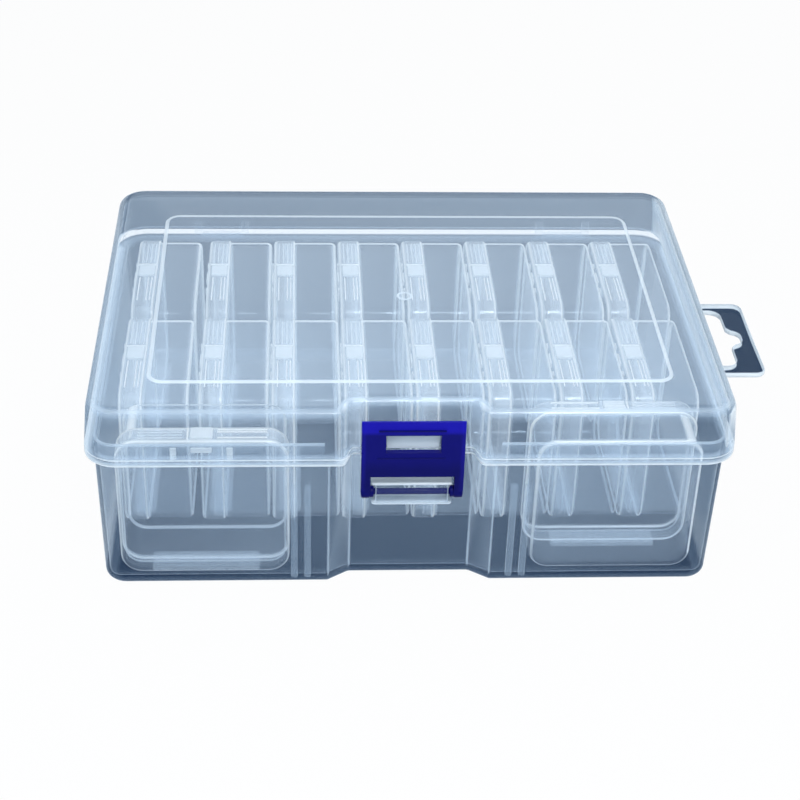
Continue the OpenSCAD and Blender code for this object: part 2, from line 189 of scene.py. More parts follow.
def round_in(radius, steps=5):
    """Quarter round as pairs of inset and rise: inset = r (1 - sin a), rise = r (1 - cos a),
    for a from 0 to 90 degrees."""
    a = np.linspace(0, np.pi / 2, steps)
    return np.column_stack([radius * (1 - np.sin(a)), radius * (1 - np.cos(a))])


def block(x1, x2, y1, y2, z1, z2, r=0.4, edge=0.25, milk_and_highlight=0.0, steps=5):
    """Block with rounded upright corners of radius r and softened ends."""
    c = box_corners(x1, y1, x2, y2)
    turn = round_in(edge, 4)
    rings = [level(outline(c, [r] * 4, i, steps), z1 + e) for i, e in turn]
    rings += [level(outline(c, [r] * 4, i, steps), z2 - e) for i, e in turn[::-1]]
    return loft(rings, np.full(len(rings), milk_and_highlight))


def rod(x1, x2, y, z, r, steps=24, edge=0.15, milk_and_highlight=0.0):
    """Round rod along X from x1 to x2 about the line at y and z, with softened ends: each
    ring is a circle of radius r less the end's inset."""
    t = np.linspace(0, 2 * np.pi, steps, endpoint=False)
    circle = np.column_stack([np.zeros(steps), np.cos(t), np.sin(t)])
    rings = []
    for x, way in ((x1, 1), (x2, -1)):
        for i, e in round_in(edge, 3)[::way]:
            rings.append([x + np.sign(x2 - x1) * way * e, y, z] + (r - i) * circle)
    return loft(rings, np.full(len(rings), milk_and_highlight))


def brightened(shape, where, amount):
    """Adds milk and painted highlight to a shape's points, as much as amount times a mask of them."""
    v, faces, marks = shape
    marks[:, 0] = np.clip(marks[:, 0] + amount * where(v), 0, 1)
    return [v, faces, marks]


def band(x, middle, half):
    """Soft band: 1 at the middle, falling to 0 half a width away on either side."""
    return np.clip(1 - np.abs(x - middle) / half, 0, 1)


# ------------------------------------------------------------- materials


def node(tree, kind, at=(0, 0), **values):
    """Adds a node. Values go to properties, or to inputs by name."""
    n = tree.nodes.new(kind)
    n.location = at
    for key, value in values.items():
        if hasattr(n, key) and key not in n.inputs:
            setattr(n, key, value)
        else:
            n.inputs[key.replace("_", " ")].default_value = value
    return n


def maths(tree, operation, a, b=None, clamp=False):
    """Math node on two sockets or numbers; gives its output."""
    n = tree.nodes.new("ShaderNodeMath")
    n.operation = operation
    n.use_clamp = clamp
    for socket, value in zip(n.inputs, (a, b)):
        if value is None:
            continue
        if isinstance(value, (int, float)):
            socket.default_value = value
        else:
            tree.links.new(value, socket)
    return n.outputs[0]


def new_group(name, inputs, outputs):
    """Shader node group with float inputs (name, default) and outputs (name, type)."""
    g = bpy.data.node_groups.new(name, "ShaderNodeTree")
    for label, default in inputs:
        s = g.interface.new_socket(name=label, in_out="INPUT", socket_type="NodeSocketFloat")
        s.default_value = default
    for label, kind in outputs:
        g.interface.new_socket(name=label, in_out="OUTPUT", socket_type=kind)
    return g, g.nodes.new("NodeGroupInput"), g.nodes.new("NodeGroupOutput")


def make_flow_group():
    """Moulding flow: long soft streaks and faint clouds in the plastic. Puts out a mask
    round 0.5 and a height for a bump."""
    g, gin, gout = new_group(
        "moulding_flow",
        [("Streak Scale", 60.0), ("Cloud Scale", 25.0)],
        [("Mask", "NodeSocketFloat"), ("Height", "NodeSocketFloat")],
    )
    coords = g.nodes.new("ShaderNodeTexCoord")
    stretch = node(g, "ShaderNodeMapping")
    stretch.inputs["Scale"].default_value = (1.0, 0.25, 1.0)
    streak = node(g, "ShaderNodeTexNoise")
    streak.inputs["Detail"].default_value = 2.0
    cloud = node(g, "ShaderNodeTexNoise")
    cloud.inputs["Detail"].default_value = 3.0
    g.links.new(coords.outputs["Object"], stretch.inputs["Vector"])
    g.links.new(stretch.outputs[0], streak.inputs["Vector"])
    g.links.new(coords.outputs["Object"], cloud.inputs["Vector"])
    g.links.new(gin.outputs["Streak Scale"], streak.inputs["Scale"])
    g.links.new(gin.outputs["Cloud Scale"], cloud.inputs["Scale"])
    both = maths(g, "ADD", streak.outputs["Fac"], cloud.outputs["Fac"])
    g.links.new(maths(g, "MULTIPLY", both, 0.5), gout.inputs["Mask"])
    g.links.new(streak.outputs["Fac"], gout.inputs["Height"])
    return g


def make_haze_group():
    """Opacity of clear plastic: a base value that the flow mask varies, plus the milky
    share that a mesh carries in its own attribute, which also holds its painted highlights."""
    g, gin, gout = new_group(
        "plastic_haze",
        [("Clear", 0.05), ("Milk_And_Highlight", 0.7), ("Flow", 0.5), ("Vary", 0.5)],
        [("Haze", "NodeSocketFloat"), ("Milk_And_Highlight_Mark", "NodeSocketFloat")],
    )
    attr = node(g, "ShaderNodeAttribute", attribute_name="milk_and_highlight")
    swing = maths(g, "MULTIPLY", maths(g, "SUBTRACT", gin.outputs["Flow"], 0.5), gin.outputs["Vary"])
    body = maths(g, "MULTIPLY", gin.outputs["Clear"], maths(g, "ADD", swing, 1.0))
    milk_and_highlight_share = maths(g, "MULTIPLY", attr.outputs["Fac"], gin.outputs["Milk_And_Highlight"])
    g.links.new(maths(g, "ADD", body, milk_and_highlight_share, clamp=True), gout.inputs["Haze"])
    g.links.new(attr.outputs["Fac"], gout.inputs["Milk_And_Highlight_Mark"])
    return g


FLOW = make_flow_group()
HAZE = make_haze_group()


def clear_plastic(name, thin, pale, clear, milk_and_highlight, grazing, shine, rim_shine, scale):
    """Thin clear plastic. What lies behind shows through a Transparent shader. Over it
    lies a Principled skin with a share of haze + grazing * facing^6. Its colour runs from
    thin in clear places to pale in milky ones and in the painted highlights along edges.
    Last comes a mirror sheen with a share of shine + rim_shine * facing^5. Where the
    camera looks out through the case's far skin, a painted slate blue shade darkens what
    lies behind, in place of a dark surround. Shadow rays pass nearly unhindered, so that
    the inside is lit. The bump is as weak as its pattern is fine."""
    m = bpy.data.materials.new(name)
    m.use_nodes = True
    t = m.node_tree
    t.nodes.clear()
    out = node(t, "ShaderNodeOutputMaterial", (1150, 0))
    flow = node(t, "ShaderNodeGroup", (-700, 0))
    flow.node_tree = FLOW
    flow.inputs["Streak Scale"].default_value = scale
    haze = node(t, "ShaderNodeGroup", (-450, 0))
    haze.node_tree = HAZE
    haze.inputs["Clear"].default_value = clear
    haze.inputs["Milk_And_Highlight"].default_value = milk_and_highlight
    t.links.new(flow.outputs["Mask"], haze.inputs["Flow"])
    bump = node(t, "ShaderNodeBump", (-700, -400))
    bump.inputs["Strength"].default_value = 3.6 / scale
    bump.inputs["Distance"].default_value = 0.0002
    t.links.new(flow.outputs["Height"], bump.inputs["Height"])
    facing = node(t, "ShaderNodeLayerWeight", (-450, -250))
    facing.inputs["Blend"].default_value = 0.5
    t.links.new(bump.outputs["Normal"], facing.inputs["Normal"])
    rise = maths(t, "POWER", facing.outputs["Facing"], 6.0)
    share = maths(t, "ADD", haze.outputs["Haze"], maths(t, "MULTIPLY", rise, grazing), clamp=True)
    mirror = maths(t, "POWER", facing.outputs["Facing"], 5.0)
    mirror = maths(t, "ADD", maths(t, "MULTIPLY", mirror, rim_shine), shine)
    path = node(t, "ShaderNodeLightPath", (-200, 500))
    geometry = node(t, "ShaderNodeNewGeometry", (-200, 300))
    skin_mark = node(t, "ShaderNodeAttribute", (-200, 700), attribute_name="outer")
    leaving = maths(t, "MULTIPLY", geometry.outputs["Backfacing"], skin_mark.outputs["Fac"])
    leaving = maths(t, "MULTIPLY", leaving, path.outputs["Is Camera Ray"])
    see = node(t, "ShaderNodeBsdfTransparent", (100, 300))
    see.inputs["Color"].default_value = (0.985, 0.99, 0.995, 1)
    # Painted shade: slate tint for camera rays that leave through the far skin.
    beyond = node(t, "ShaderNodeBsdfTransparent", (100, 150))
    beyond.inputs["Color"].default_value = (*SLATE_SHADE, 1)
    through = node(t, "ShaderNodeMixShader", (300, 200))
    t.links.new(leaving, through.inputs["Fac"])
    t.links.new(see.outputs[0], through.inputs[1])
    t.links.new(beyond.outputs[0], through.inputs[2])
    tint = node(t, "ShaderNodeMix", (-100, 0))
    tint.data_type = "RGBA"
    tint.inputs["A"].default_value = (*thin, 1)
    tint.inputs["B"].default_value = (*pale, 1)
    t.links.new(haze.outputs["Milk_And_Highlight_Mark"], tint.inputs["Factor"])
    skin = node(t, "ShaderNodeBsdfPrincipled", (100, 0))
    t.links.new(tint.outputs["Result"], skin.inputs["Base Color"])
    skin.inputs["Roughness"].default_value = 0.25
    skin.inputs["IOR"].default_value = 1.49
    t.links.new(bump.outputs["Normal"], skin.inputs["Normal"])
    mix = node(t, "ShaderNodeMixShader", (500, 100))
    t.links.new(share, mix.inputs["Fac"])
    t.links.new(through.outputs[0], mix.inputs[1])
    t.links.new(skin.outputs[0], mix.inputs[2])
    sheen = node(t, "ShaderNodeBsdfGlossy", (500, -150))
    sheen.inputs["Color"].default_value = (0.72, 0.88, 1.0, 1)
    sheen.inputs["Roughness"].default_value = 0.14
    t.links.new(bump.outputs["Normal"], sheen.inputs["Normal"])
    glossed = node(t, "ShaderNodeMixShader", (700, 0))
    t.links.new(mirror, glossed.inputs["Fac"])
    t.links.new(mix.outputs[0], glossed.inputs[1])
    t.links.new(sheen.outputs[0], glossed.inputs[2])
    let_by = node(t, "ShaderNodeBsdfTransparent", (700, -200))
    let_by.inputs["Color"].default_value = (0.97, 0.98, 0.99, 1)
    last = node(t, "ShaderNodeMixShader", (950, 0))
    t.links.new(path.outputs["Is Shadow Ray"], last.inputs["Fac"])
    t.links.new(glossed.outputs[0], last.inputs[1])
    t.links.new(let_by.outputs[0], last.inputs[2])
    t.links.new(last.outputs[0], out.inputs["Surface"])
    return m


def latch_plastic():
    """Opaque dark blue plastic with faint mottling and a soft gloss. It is painted lighter
    where its mark says so: painted highlights on edges and on facets that face the light."""
    m = bpy.data.materials.new("latch_blue")
    m.use_nodes = True
    t = m.node_tree
    t.nodes.clear()
    out = node(t, "ShaderNodeOutputMaterial", (700, 0))
    flow = node(t, "ShaderNodeGroup", (-600, 0))
    flow.node_tree = FLOW
    flow.inputs["Streak Scale"].default_value = 300.0
    flow.inputs["Cloud Scale"].default_value = 120.0
    # Dark blue, mixed towards a lighter blue by the mottling and by the painted highlights of the mark.
    colour = node(t, "ShaderNodeMix", (-300, 0))
    colour.data_type = "RGBA"
    colour.inputs["A"].default_value = (0.0005, 0.002, 0.085, 1)
    colour.inputs["B"].default_value = (0.010, 0.008, 0.40, 1)
    painted_light = node(t, "ShaderNodeAttribute", (-900, 200), attribute_name="milk_and_highlight")
    mottle = maths(t, "MULTIPLY", flow.outputs["Mask"], 0.16)
    t.links.new(maths(t, "ADD", mottle, painted_light.outputs["Fac"], clamp=True), colour.inputs["Factor"])
    bump = node(t, "ShaderNodeBump", (-300, -300))
    bump.inputs["Strength"].default_value = 0.2
    bump.inputs["Distance"].default_value = 0.0001
    t.links.new(flow.outputs["Height"], bump.inputs["Height"])
    skin = node(t, "ShaderNodeBsdfPrincipled", (200, 0))
    skin.inputs["Roughness"].default_value = 0.38
    skin.inputs["IOR"].default_value = 1.49
    skin.inputs["Specular IOR Level"].default_value = 0.08
    t.links.new(colour.outputs["Result"], skin.inputs["Base Color"])
    t.links.new(bump.outputs["Normal"], skin.inputs["Normal"])
    t.links.new(skin.outputs[0], out.inputs["Surface"])
    return m


# Painted shade: slate blue that darkens what the camera sees out through the case's far skin, in place of
# a dark surround.
SLATE_SHADE = (0.012, 0.032, 0.078)
# Tints of clear places, and pale whites for milky places and for the painted highlights along edges.
VEIL, MILK_AND_HIGHLIGHT_WHITE = (0.58, 0.77, 0.98), (0.86, 0.93, 0.98)
CUP_VEIL, CUP_MILK_AND_HIGHLIGHT_WHITE = (0.70, 0.83, 0.97), (0.88, 0.94, 0.98)
SMALL_VEIL, SMALL_MILK_AND_HIGHLIGHT_WHITE = (0.72, 0.84, 0.96), (0.92, 0.96, 0.98)
CASE = clear_plastic(
    "case_clear", VEIL, MILK_AND_HIGHLIGHT_WHITE,
    clear=0.002, milk_and_highlight=1.0, grazing=0.45, shine=0.004, rim_shine=0.22, scale=60.0,
)
CUP = clear_plastic(
    "cup_clear", CUP_VEIL, CUP_MILK_AND_HIGHLIGHT_WHITE,
    clear=0.045, milk_and_highlight=1.0, grazing=0.05, shine=0.008, rim_shine=0.05, scale=120.0,
)
SMALL_LID = clear_plastic(
    "small_lid_clear", SMALL_VEIL, SMALL_MILK_AND_HIGHLIGHT_WHITE,
    clear=0.030, milk_and_highlight=1.0, grazing=0.05, shine=0.013, rim_shine=0.05, scale=120.0,
)
BLUE = latch_plastic()


def piece(name, shape, body, material, stands_for=()):
    """Makes a mesh piece from a closed shape in millimetres and rides it on a body."""
    v, faces, marks = shape
    mesh = bpy.data.meshes.new(name)
    sizes = np.concatenate([np.full(len(f), f.shape[1]) for f in faces])
    corners = np.concatenate([f.ravel() for f in faces])
    mesh.vertices.add(len(v))
    mesh.vertices.foreach_set("co", (v * MM).ravel())
    mesh.loops.add(len(corners))
    mesh.loops.foreach_set("vertex_index", corners.astype(np.int32))
    mesh.polygons.add(len(sizes))
    starts = np.concatenate([[0], np.cumsum(sizes)[:-1]])
    mesh.polygons.foreach_set("loop_start", starts.astype(np.int32))
    mesh.polygons.foreach_set("loop_total", sizes.astype(np.int32))
    mesh.update(calc_edges=True)
    mesh.validate()
    mesh.polygons.foreach_set("use_smooth", np.ones(len(mesh.polygons), bool))
    mesh.set_sharp_from_angle(angle=RAD(40))
    for label, values in zip(("milk_and_highlight", "outer"), marks.T):
        attr = mesh.attributes.new(label, "FLOAT", "POINT")
        attr.data.foreach_set("value", values.astype(np.float32))
    o = bpy.data.objects.new(name, mesh)
    bpy.context.scene.collection.objects.link(o)
    mesh.materials.append(material)
    if stands_for:
        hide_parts(*stands_for)
    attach(o, body)
    return o


# ------------------------------------------------------------- case base


def base_corners():
    """Corners of the base's plan at the table, with the latch recess in its front."""
    a, b = HALF_W, HALF_D
    notch = [(-MOUTH, -b), (-ROOT, -b + DEEP), (ROOT, -b + DEEP), (MOUTH, -b)]
    return [(-a, -b)] + notch + [(a, -b), (a, b), (-a, b)]


BASE_R = [6.0, 1.6, 1.6, 1.6, 1.6, 6.0, 6.0, 6.0]
BASE_IN_R = [4.4, 1.6, 1.6, 1.6, 1.6, 4.4, 4.4, 4.4]


def rim_corners():
    """Corners of the rim band's plan, in the same order as the base's."""
    a, f = RIM_W, RIM_F
    notch = [(-LID_MOUTH, -f), (-LID_ROOT, -RECESS_Y), (LID_ROOT, -RECESS_Y), (LID_MOUTH, -f)]
    return [(-a, -f)] + notch + [(a, -f), (a, BAND_REAR), (-a, BAND_REAR)]


RIM_R = [9.0, 1.8, 1.2, 1.2, 1.8, 9.0, 9.0, 9.0]


def far_skin(shape):
    """Drops the outer mark, and with it the painted slate shade, round the latch recess and
    under the rim's front overhang, where a look through the plastic comes back into the case."""
    v, faces, marks = shape
    recess = (np.abs(v[:, 0]) < MOUTH + 3) & (v[:, 1] < -HALF_D + DEEP + 3) & (v[:, 2] > 3)
    overhang = (v[:, 1] < -HALF_D - 0.6) & (v[:, 2] > 30)
    marks[recess | overhang, 1] = 0
    return [v, faces, marks]


def base_shell():
    """The base as one skin. Outside: bottom, its round edge, the drafted wall, then the
    rim band. Inside: the wall down to a round edge and the floor."""
    c, rc = base_corners(), rim_corners()
    rings, marks = [], []

    def add(corners, radii, inset, z, milk_and_highlight=0.0, outer=1.0):
        rings.append(level(outline(corners, radii, inset), z))
        marks.append((milk_and_highlight, outer))

    under = RIM_Z - BAND
    add(c, BASE_R, 3.4, 0.0)
    for i, e in round_in(2.4, 7):
        add(c, BASE_R, i - e * SLOPE, e, 0.06)
    add(c, BASE_R, -3.5 * SLOPE, 3.5)
    add(c, BASE_R, -(under - 1.2) * SLOPE, under - 1.2)
    add(c, BASE_R, -under * SLOPE, under - 0.15, 0.05)
    add(c, BASE_R, -under * SLOPE - 0.2, under, 0.1)
    # Milk on the rim band's lower round edge, fading above it, paints a highlight line along it.
    for i, e in round_in(0.3, 4):
        add(rc, RIM_R, i, under + e, 1)
    add(rc, RIM_R, 0, under + 0.6, 0.6)
    add(rc, RIM_R, 0, under + 0.8, 0.1)
    for i, e in round_in(0.3, 4)[::-1]:
        add(rc, RIM_R, i, RIM_Z - e, 0.25, 0)
    add(c, BASE_R, -RIM_Z * SLOPE, RIM_Z, 0.1, 0)
    add(c, BASE_IN_R, WALL - 0.2 - RIM_Z * SLOPE, RIM_Z, 0.1, 0)
    add(c, BASE_IN_R, WALL - RIM_Z * SLOPE, RIM_Z - 0.3, 0.1, 0)
    add(c, BASE_IN_R, WALL - 5 * SLOPE, 5.0, 0, 0)
    for i, e in round_in(2.0, 6)[::-1]:
        add(c, BASE_IN_R, WALL + i - e * SLOPE, FLOOR + e, 0.04, 0)
    add(c, BASE_IN_R, WALL + 3.2, FLOOR, 0, 0)

    def recess_corner_highlights(v):
        """Painted highlight on the upright corners of the latch recess."""
        x = np.abs(v[:, 0])
        near = (v[:, 1] < -HALF_D + DEEP + 3) * (v[:, 2] > 3) * (v[:, 2] < under - 0.5)
        return near * np.maximum(band(x, MOUTH, 0.55), band(x, ROOT, 0.55))

    shell = brightened(loft(rings, marks), recess_corner_highlights, 0.45)
    # Takes the painted highlight off the rim band at the back.
    shell = brightened(shell, lambda v: (v[:, 1] > HALF_D - 1) * (v[:, 2] > 40), -0.8)
    return far_skin(shell)


def lip():
    """Locating lip: a thin wall that follows the base's plan from one side of the latch
    recess round to the other. Each ring is the wall's section, a slim rounded strip."""
    a, b = HALF_W + EDGE_Z * SLOPE, HALF_D + EDGE_Z * SLOPE
    stop = MOUTH + 1.2

    def path(inset):
        """Open path from the right of the recess round the back to its left."""
        loop = outline(box_corners(-a, -b, a, b), [6.0] * 4, inset, 12)
        loop = np.roll(loop, -12, 0)
        ends = np.array([[stop, -b + inset], [-stop, -b + inset]])
        return np.vstack([ends[:1], loop, ends[1:]])

    outer, inner = path(0.05), path(1.1)
    mid = (outer + inner) / 2
    z1, z2 = RIM_Z - 0.4, LIP_TOP
    section = [(1, z1), (1, z2 - 0.5), (1, z2 - 0.35), (0.55, z2)]
    section += [(-0.55, z2), (-1, z2 - 0.35), (-1, z1)]
    rings = [level(mid + (outer - inner) / 2 * dx, z) for dx, z in section]
    r = np.array(rings).transpose(1, 0, 2)
    strip = loft(r, np.full(len(r), 0.03))
    # Painted highlight along the top of the lip's front half.
    return brightened(strip, lambda v: (v[:, 2] > z2 - 0.4) * (v[:, 1] < 0), 0.32)


def tab():
    """Hang tab: a flat plate with rounded edges, as rings that run round between its
    outer edge and the slot. Both edges are read at equal angles about the slot."""
    x1, x2, half = RIM_W - 1.0, RIM_W + 16.6, 19.5
    s1, s2, long = RIM_W + 1.6, RIM_W + 9.3, 15.2
    cx = (s1 + s2) / 2
    t = np.linspace(-np.pi, np.pi, 360, endpoint=False)
    outer = outline(box_corners(x1, -half, x2, half), [0.6, 3.0, 3.0, 0.6], 0, 24)
    slot_c = [(s1, -long), (s2, -long), (s2, -5.2), (s2 + 1.2, -3.6), (s2 + 3.6, -3.4)]
    slot_c += [(x, -y) for x, y in slot_c[::-1]]
    slot_r = [3.6, 3.6, 0.8, 1.2, 2.8, 2.8, 1.2, 0.8, 3.6, 3.6]

    def at_angles(pts):
        """Where rays from the slot's middle meet a closed outline: each side is cut into
        many steps, and the distance is read by angle."""
        u = np.linspace(0, 1, 40, endpoint=False)[None, :, None]
        d = (pts[:, None] * (1 - u) + np.roll(pts, -1, 0)[:, None] * u).reshape(-1, 2) - [cx, 0]
        a = np.arctan2(d[:, 1], d[:, 0])
        n = np.linalg.norm(d, axis=1)
        order = np.argsort(a)
        return np.interp(t, a[order], n[order], period=2 * np.pi)

    ro = at_angles(outer)
    ri = at_angles(outline(slot_c, slot_r, 0, 24))
    z1, z2, e = RIM_Z - BAND, RIM_Z, 0.3
    way = np.stack([np.cos(t), np.sin(t)], 1)
    rings, marks = [], []
    # Milk on the plate's round outer edge and round the slot's edge paints highlight lines there.
    steps = [(ro - 0.5, z1, 0), (ro - 0.2, z1, 0.8), (ro, z1 + e, 1)]
    steps += [(ro, z2 - e, 1), (ro - 0.2, z2, 0.8), (ro - 0.5, z2, 0)]
    steps += [(ri + 0.5, z2, 0), (ri + 0.2, z2, 0.8), (ri, z2 - e, 1)]
    steps += [(ri, z1 + e, 1), (ri + 0.2, z1, 0.8), (ri + 0.5, z1, 0)]
    for r, z, m in steps:
        rings.append(level(way * r[:, None] + [cx, 0], z))
        marks.append((m, 1.0))
    return ring_solid(rings, marks)


def ribs():
    """Four upright ribs that make two divider slots inside the front wall."""
    out = []
    y, half = -IN_D / 2, RIB_T / 2
    step = (RIB_SLOT + RIB_T) / 2
    z1, z2 = FLOOR - 0.2, FLOOR + 31
    for x in (-RIB_X - step, -RIB_X + step, RIB_X - step, RIB_X + step):
        out.append(block(x - half, x + half, y - 0.5, y + 1.5, z1, z2, 0.5, 0.5, 0.14))
    return out


def knuckles():
    """Two hinge knuckles on the rim band's rear edge, each a short tube."""
    out = []
    t = np.linspace(0, 2 * np.pi, 28, endpoint=False)
    h = KNUCKLE_HALF
    section = [(1.45, -h), (1.6, -h + 0.15), (1.6, h - 0.15), (1.45, h)]
    section += [(0.95, h), (0.85, h - 0.1), (0.85, -h + 0.1), (0.95, -h)]
    for x in (-KNUCKLE_X, KNUCKLE_X):
        rings = []
        for r, dx in section:
            circle = [HINGE_Y + r * np.cos(t), HINGE_Z + r * np.sin(t)]
            rings.append(np.column_stack([np.full(28, x + dx), *circle]))
        out.append(ring_solid(rings, np.full(8, 0.1)))
    return out


def pivot_block():
    """Clear block on the recess wall that carries the latch's axle: a narrow body with a
    wider ledge on top and a wider foot."""
    y1, y2 = PIVOT_Y - 1.5, PIVOT_Y + 3.0
    rings = []
    section = box_corners(y1, PIVOT_Z - 3.7, y2, PIVOT_Z + 2.3)
    for x, inset in ((-9.9, 0.5), (-9.75, 0.15), (-9.4, 0), (9.4, 0), (9.75, 0.15), (9.9, 0.5)):
        o = outline(section, [1.4, 0.2, 0.2, 0.5], inset, 6)
        rings.append(np.column_stack([np.full(len(o), x), o]))
    # Milk on the body's ends, on the ledge and along the foot's lower edge paints highlight lines there.
    core = loft(rings, [0.6, 0.5, 0.04, 0.04, 0.5, 0.6])
    top = block(-10.9, 10.9, y1 + 0.9, y2, PIVOT_Z + 2.25, PIVOT_Z + 3.0, 0.5, 0.25, 0.75)
    foot = block(-10.9, 10.9, y1 + 0.2, y2, PIVOT_Z - 3.7, PIVOT_Z - 1.9, 0.9, 0.35, 0.08)
    foot = brightened(foot, lambda v: v[:, 2] < PIVOT_Z - 3.3, 0.6)
    return [core, top, foot]


base_shape = joined(base_shell(), lip(), tab(), *ribs(), *knuckles(), *pivot_block())
piece("case_base_shell", base_shape, "case_base", CASE, ("case_base",))


# -------------------------------------------------------------- case lid


def lid_corners():
    """Corners of the lid's plan at its edge, with the latch recess in its front."""
    a, f = RIM_W, RIM_F
    notch = [(-LID_MOUTH, -f), (-LID_ROOT, -RECESS_Y), (LID_ROOT, -RECESS_Y), (LID_MOUTH, -f)]
    return [(-a, -f)] + notch + [(a, -f), (a, LID_REAR), (-a, LID_REAR)]


def panel_ring(inset, side=0.0, rear=0.0, steps=9):
    """The raised panel's outline, point for point with the lid's: its four round corners,
    and evenly spaced points along the front for the corners of the latch recess. Its
    sides and its rear may stand further in."""
    x, y = PANEL_W / 2 - side, PANEL_D / 2
    rect = box_corners(-x, -y, x, y - rear)
    ring = outline(rect, [PANEL_R - side] * 4, inset, steps)
    u = np.linspace(0, 1, 4 * steps + 2)[1:-1, None]
    front = ring[steps - 1] * (1 - u) + ring[steps] * u
    return np.vstack([ring[:steps], front, ring[steps:]])


def lid_shell():
    """The lid as one skin. Inside: the underside, a round edge and the wall down to the
    rim. Outside: the drafted wall, a round edge, the flat top and the raised panel."""
    c = lid_corners()
    rr = [9.0, 1.8, 1.2, 1.2, 1.8, 9.0, 9.0, 9.0]
    rings, marks = [], []

    def add(inset, z, milk_and_highlight=0.0, outer=0.0):
        rings.append(level(outline(c, rr, inset), z))
        marks.append((milk_and_highlight, outer))

    def outer_at(z):
        """How far the drafted outer wall stands in at height z."""
        return (z - EDGE_Z) * LID_SLOPE

    under = LID_TOP - LID_PLATE
    edge, inner_edge = 2.8, 1.3
    add(LID_WALL + outer_at(under) + inner_edge + 1, under, 0.1)
    for i, e in round_in(inner_edge, 6)[::-1]:
        add(LID_WALL + outer_at(under - e) + i, under - e, 0.05)
    add(LID_WALL + outer_at(EDGE_Z + 1), EDGE_Z + 1, 0.05)
    # Milk on the edges at the lid's bottom paints highlight lines along it.
    add(LID_WALL, EDGE_Z + 0.3, 0.3)
    add(LID_WALL - 0.3, EDGE_Z, 0.2)
    add(0.6, EDGE_Z, 0)
    add(0.3, EDGE_Z, 0.9)
    add(0.0, EDGE_Z + 0.3, 1, 1)
    add(outer_at(EDGE_Z + 0.5), EDGE_Z + 0.5, 0.7, 1)
    add(outer_at(EDGE_Z + 0.7), EDGE_Z + 0.7, 0.05, 1)
    add(outer_at(LID_TOP - edge - 1), LID_TOP - edge - 1, 0, 1)
    # Painted highlight along the round top edge: milk that peaks halfway round it.
    glow = (0.05, 0.08, 0.12, 0.2, 0.3, 0.35, 0.3, 0.15, 0.05)
    for (i, e), m in zip(round_in(edge, 9)[::-1], glow):
        add(outer_at(LID_TOP - e) + i, LID_TOP - e, m, 1)
    last = outline(c, rr, outer_at(LID_TOP) + edge + 0.3)
    rings.append(level(last, LID_TOP))
    marks.append((0.2, 1))
    top = LID_TOP + PANEL_H
    # Milk on the panel's raised edge paints a highlight line round the panel.
    line = [(-0.4, 0, 0, LID_TOP, 0.22), (-0.35, 0, 0, LID_TOP + 0.02, 0.7)]
    line += [(0, 0, 0, LID_TOP + 0.35, 0.75), (0.3, 0, 0, top, 0.7)]
    line += [(0.5, 0.3, 0.9, top, 0.6), (0.55, 0.3, 0.95, top, 0.22)]
    for inset, side, rear, z, m in line:
        rings.append(level(panel_ring(inset, side, rear), z))
        marks.append((m, 1))

    def side_and_corner_highlights(v):
        """Painted highlights: strong on the right side wall and faint on the left, and on the upright
        corners of the latch recess; less milk low at the rear.
        """
        x, y, z = v.T
        side = (np.abs(x) > RIM_W - 3.5) * (z < LID_TOP - 1.5) * (z > EDGE_Z + 0.8)
        near = (y < -RECESS_Y + 3) * (z > EDGE_Z + 0.8) * (z < LID_TOP - 0.5)
        rear = (y > BAND_REAR - 2) * (z < EDGE_Z + 0.8)
        corner = near * band(np.abs(x), LID_MOUTH, 1.2)
        return np.where(x > 0, 0.9, 0.05) * side + 0.5 * corner - 0.75 * rear

    shell = far_skin(brightened(loft(rings, marks), side_and_corner_highlights, 1.0))
    # Painted shade: the lid's low rear edge counts as outer skin, so that the look out through it is
    # darkened to slate.
    shell[2][(shell[0][:, 1] > LID_REAR - 2) & (shell[0][:, 2] < EDGE_Z + 0.4), 1] = 1
    return shell


def gate_mark():
    """Small moulding mark on the panel: a low ring with a rounded crown."""
    t = np.linspace(0, 2 * np.pi, 40, endpoint=False)
    z = LID_TOP + PANEL_H
    rings = []
    for r, h in ((2.3, -0.05), (2.2, 0), (1.7, 0), (1.6, -0.05), (1.9, -0.1)):
        rings.append(level(np.column_stack([r * np.cos(t), r * np.sin(t) - 2.2]), z + h - 0.001))
    return ring_solid(rings, np.full(5, 0.6))


def lug():
    """Catch lug on the lid's recess wall, behind the latch's window."""
    half, y1, y2 = WINDOW_HALF - 0.3, LATCH_BACK + 0.3, -RECESS_Y + 0.8
    lug_block = block(-half, half, y1, y2, 45.1, 50.0, 0.3, 0.25, 0.32)
    # Painted highlight along the lug's lower edge.
    return brightened(lug_block, lambda v: v[:, 2] < 45.6, 0.5)


def lid_arms():
    """Arms and pins of the lid's hinge: a round eye and a web up to the rear wall."""
    out = []
    t = np.linspace(RAD(90), RAD(360), 20)
    eye = np.stack([1.5 * np.cos(t), 1.5 * np.sin(t)], 1)
    web = np.array([[2.7, 0.0], [2.7, 4.0], [0.6, 4.0], [0.0, 3.4]])
    flat = np.vstack([eye, web]) + [HINGE_Y, HINGE_Z]
    for s in (-1, 1):
        for a in (-1, 1):
            x = s * KNUCKLE_X + a * (KNUCKLE_HALF + ARM_GAP + ARM_HALF)
            widths = (-ARM_HALF, 0.1 - ARM_HALF, ARM_HALF - 0.1, ARM_HALF)
            rings = [np.column_stack([np.full(len(flat), x + w), flat]) for w in widths]
            out.append(loft(rings, [0.05] * 4))
            start, end = x - a * 1.0, s * KNUCKLE_X + a * (KNUCKLE_HALF - 3.2)
            out.append(rod(start, end, HINGE_Y, HINGE_Z, 0.8, 20, 0.15, 0.05))
    return out


lid_solid = joined(lid_shell(), gate_mark(), lug(), *lid_arms())
piece("case_lid_shell", lid_solid, "case_lid", CASE, ("case_lid",))


# ----------------------------------------------------------------- latch


